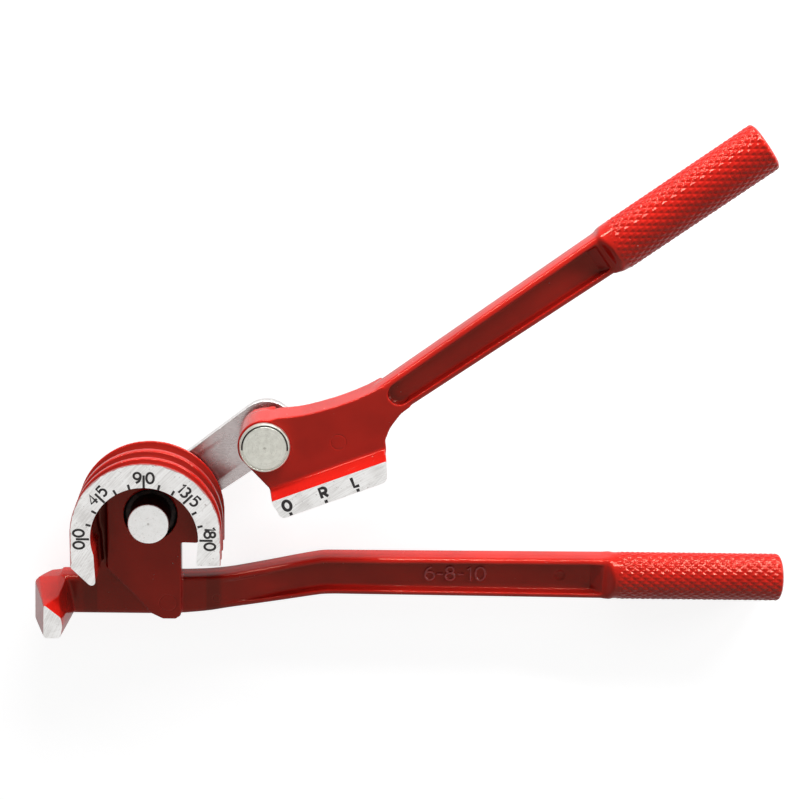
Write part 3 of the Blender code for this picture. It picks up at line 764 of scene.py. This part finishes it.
wheel_end, lever_end, link_low, link_high = 10.9, 12.5, 5.75, 10.75
lean = asin((lever_end - wheel_end) / link_length)
link_outline = arc((0, 0), wheel_end, pi / 2 + lean, 3 * pi / 2 - lean, 40)
link_outline += arc((link_length, 0), lever_end, -pi / 2 - lean, pi / 2 + lean, 40)
link = slab("link_strap", link_outline, link_low, link_high)
for along in (0, link_length):
    hole = lathe("hole", [(0, 4), (pin_hole, 4), (pin_hole, 12), (0, 12)], 48)
    hole.data.transform(shift(along, 0, 0))
    combine(link, hole, "DIFFERENCE")
blank = settled(link)
for step in list(link.modifiers):
    bpy.data.objects.remove(step.object, do_unlink=True)
    link.modifiers.remove(step)
link.data = blank
rounded(link, 0.45)
link.data.transform(Matrix.Rotation(link_turn, 4, "Z"))
link.data.materials.append(satin)
link.data.materials.append(bright_steel("blanked_edge", 0, 0, (0.97, 0.97, 0.96), (0.86, 0.86, 0.85)))
for face in link.data.polygons:
    if abs(face.normal.z) < 0.5:
        face.material_index = 1
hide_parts("link_plate")
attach(link, "link")


# The two headed pins are turned from bright steel. The wheel's pin stands well up in its
# counterbore and is faced nearly white; the lever's pin has a low head with a shoulder and a
# turned line round its face, and has yellowed a little.

def headed_pin(name, head, place, finish):
    """A shank with its retaining ring's groove, and a head on top."""
    shank = [(0, 0), (5.5, 0), (5.75, 0.1), (5.95, 0.35), (6.0, 0.6), (6.0, 1.75), (5.9, 1.85), (5.2, 1.9),
             (5.2, 3.9), (5.9, 3.95), (6.0, 4.05)]
    pin = lathe(name, shank + head, 96)
    pin.data.transform(Matrix.Translation(place))
    mesh = bmesh.new()
    mesh.from_mesh(pin.data)
    for face in mesh.faces:
        face.smooth = True
    for edge in mesh.edges:
        edge.smooth = edge.calc_face_angle(0) < radians(28)
    mesh.to_mesh(pin.data)
    mesh.free()
    pin.data.materials.append(finish)
    pin.data.materials.append(greased_bore)
    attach(pin, "link" if place.length else "base")
    return pin


former_pin = headed_pin("wheel_pin", [
    (6.0, 17.65), (8.9, 17.65), (9.1, 17.85), (9.1, 31.35), (9.03, 31.6), (8.85, 31.77), (8.6, 31.84), (8.3, 31.85),
    (0, 31.80)], Vector((0, 0, 0)), bright_steel("pin_bright", 0, 0, (0.98, 0.975, 0.96), (0.84, 0.83, 0.81)))
for face in former_pin.data.polygons:    # painted shade on the head's side, down in the counterbore
    if hypot(*face.center.xy) > 9.0 * mm and face.center.z < 31.3 * mm:
        face.material_index = 1
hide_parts("former_pin")
lever_pin = headed_pin("handle_pin", [
    (6.0, 38.15), (10.8, 38.15), (10.98, 38.3), (11.0, 38.6), (10.95, 39.4), (10.75, 39.9), (10.45, 40.1),
    (10.2, 40.12), (10.1, 40.05), (10.05, 39.5), (9.5, 39.5), (9.46, 40.0), (9.35, 40.16), (9.1, 40.22),
    (0, 40.25)], lever_pivot,
    bright_steel("pin_worn", lever_pivot.x / mm, lever_pivot.y / mm, (0.82, 0.82, 0.74), (0.62, 0.61, 0.54)))
for face in lever_pin.data.polygons:    # painted shade in the upper half of the turned line, under the head's rim
    east, north = (face.center - lever_pivot).xy / mm
    if 9.48 < hypot(east, north) < 10.08 and 39.4 < face.center.z / mm < 40.0 and north > -1.0:
        face.material_index = 1
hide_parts("lever_pin")


# Each pin carries a thrust washer in front of the link, a clip washer behind it and a retaining
# ring in its groove. The washers are zinc-plated, and the rings are blackened spring steel.

plate = Finish("zinc_plate", Metallic=1.0, IOR=2.4)
spangle = plate.node("ShaderNodeTexVoronoi", None, {"Vector": plate.place, "Scale": 0.5 / mm}, "Color")
haze = plate.grain(0.8, 3.0)
zinc_plate = plate.drive(
    Base_Color=plate.mix(haze.between(0.35, 0.65), (0.50, 0.50, 0.49), (0.68, 0.68, 0.66)),
    Roughness=0.28 + haze * 0.2 + spangle * 0.05,
    Normal=plate.bump(haze, 0.02),
)
spring = Finish("spring_black", Metallic=1.0, IOR=2.4)
oxide = spring.grain(1.2, 3.0)
spring_black = spring.drive(
    Base_Color=spring.mix(oxide.between(0.4, 0.65), (0.06, 0.058, 0.06), (0.14, 0.135, 0.13)),
    Roughness=0.34 + oxide * 0.2,
    Normal=spring.bump(oxide, 0.015),
)
washer_radius, washer_thick = 8.6, 1.5
for owner, centre in (("former", Vector((0, 0, 0))), ("lever", lever_pivot)):
    body = "link" if owner == "lever" else "base"
    for kind, low in (("thrust", 11.05), ("clip", 3.95)):
        high = low + washer_thick
        washer = lathe(owner + "_" + kind + "_disc", [(pin_hole, low), (washer_radius, low), (washer_radius, high),
                                                      (pin_hole, high)], 72)
        rounded(washer, 0.25)
        washer.data.transform(Matrix.Translation(centre))
        washer.data.materials.append(zinc_plate)
        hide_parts(owner + "_" + kind + "_washer")
        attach(washer, body)
    clip = lathe(owner + "_snap_ring", [(5.5, 2.15), (7.8, 2.15), (7.8, 3.65), (5.5, 3.65)], 60, sweep=radians(300))
    rounded(clip, 0.2)
    clip.data.transform(Matrix.Translation(centre))
    clip.data.materials.append(spring_black)
    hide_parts(owner + "_retaining_ring")
    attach(clip, body)


# The tool lies on a plain pale table under a plain sky. The table keeps the tool's shadow. Both look
# pale to the camera and in reflections, and give next to no light of their own.

backdrop = Finish("pale_table", Base_Color=(0.45, 0.45, 0.45, 1), Roughness=0.8, Specular_IOR_Level=0.0,
                  Emission_Color=(1, 1, 1, 1))
seen = backdrop.node("ShaderNodeLightPath", output="Is Camera Ray")
gloss = backdrop.node("ShaderNodeLightPath", output="Is Glossy Ray")
through = backdrop.node("ShaderNodeLightPath", output="Is Transmission Ray")
mesh = bmesh.new()
bmesh.ops.create_grid(mesh, x_segments=1, y_segments=1, size=3.0)
table = solid("table", mesh)
table.data.materials.append(backdrop.drive(Emission_Strength=seen * 0.82 + gloss * 0.42 + through * 0.8))

sky = Finish(bpy.data.worlds.new("studio"), "Background", Color=(1, 1, 1, 1))
seen = sky.node("ShaderNodeLightPath", output="Is Camera Ray")
gloss = sky.node("ShaderNodeLightPath", output="Is Glossy Ray")
bpy.context.scene.world = sky.drive(Strength=0.12 + gloss * 0.46 + seen * 0.88)


# Five lamps, all soft strips and panels: two low ones behind the tool that draw the light lines on
# the paint's upper edges, one at the grips' end, one in front and one overhead.

def lamp(name, place, aim, size, power):
    """A panel of a width and a height in metres that looks at a point."""
    light = bpy.data.lights.new(name, "AREA")
    light.shape, light.size, light.size_y, light.energy = "RECTANGLE", size[0], size[1], power
    holder = put(name, light)
    holder.location = place
    holder.rotation_mode = "QUATERNION"
    holder.rotation_quaternion = (Vector(aim) - Vector(place)).to_track_quat("-Z", "Y")


lamp("window", (0.50, 1.05, 0.38), (0.14, 0.05, 0.02), (1.1, 0.08), 15.0)
lamp("sill", (0.10, 0.95, 0.06), (0.12, 0.0, 0.03), (1.8, 0.09), 18.0)
lamp("side", (1.10, 0.42, 0.26), (0.15, 0.0, 0.02), (0.4, 0.3), 4.0)
lamp("front", (0.32, -0.95, 0.60), (0.16, 0.0, 0.02), (1.6, 0.9), 1.6)
lamp("overhead", (0.1, -0.45, 1.3), (0.12, 0.02, 0.0), (1.4, 1.2), 1.4)


# The camera stands as in the photograph: 0.86 m above the table and 0.3 m beyond the wheel's pin
# on the link's side, so that it looks down on the tool and shows the sides turned that way.

camera = bpy.data.cameras.new("camera")
camera.lens, camera.sensor_width = 90, 36
camera.clip_start, camera.clip_end = 0.01, 20
camera_turn = Vector((0.28819, 0.03515, -0.02066))    # axis of the turn, as long as its angle in radians
spin = Matrix.Rotation(camera_turn.length, 3, camera_turn.normalized())
right, down, forward = Matrix(((1, 0, 0), (0, -1, 0), (0, 0, -1))) @ spin
viewer = put("camera", camera)
viewer.matrix_world = Matrix(((right[0], -down[0], -forward[0], 76.46 * mm),
                              (right[1], -down[1], -forward[1], 303.49 * mm),
                              (right[2], -down[2], -forward[2], 858.97 * mm), (0, 0, 0, 1)))
bpy.context.scene.camera = viewer
bpy.context.scene.view_settings.view_transform = "Standard"
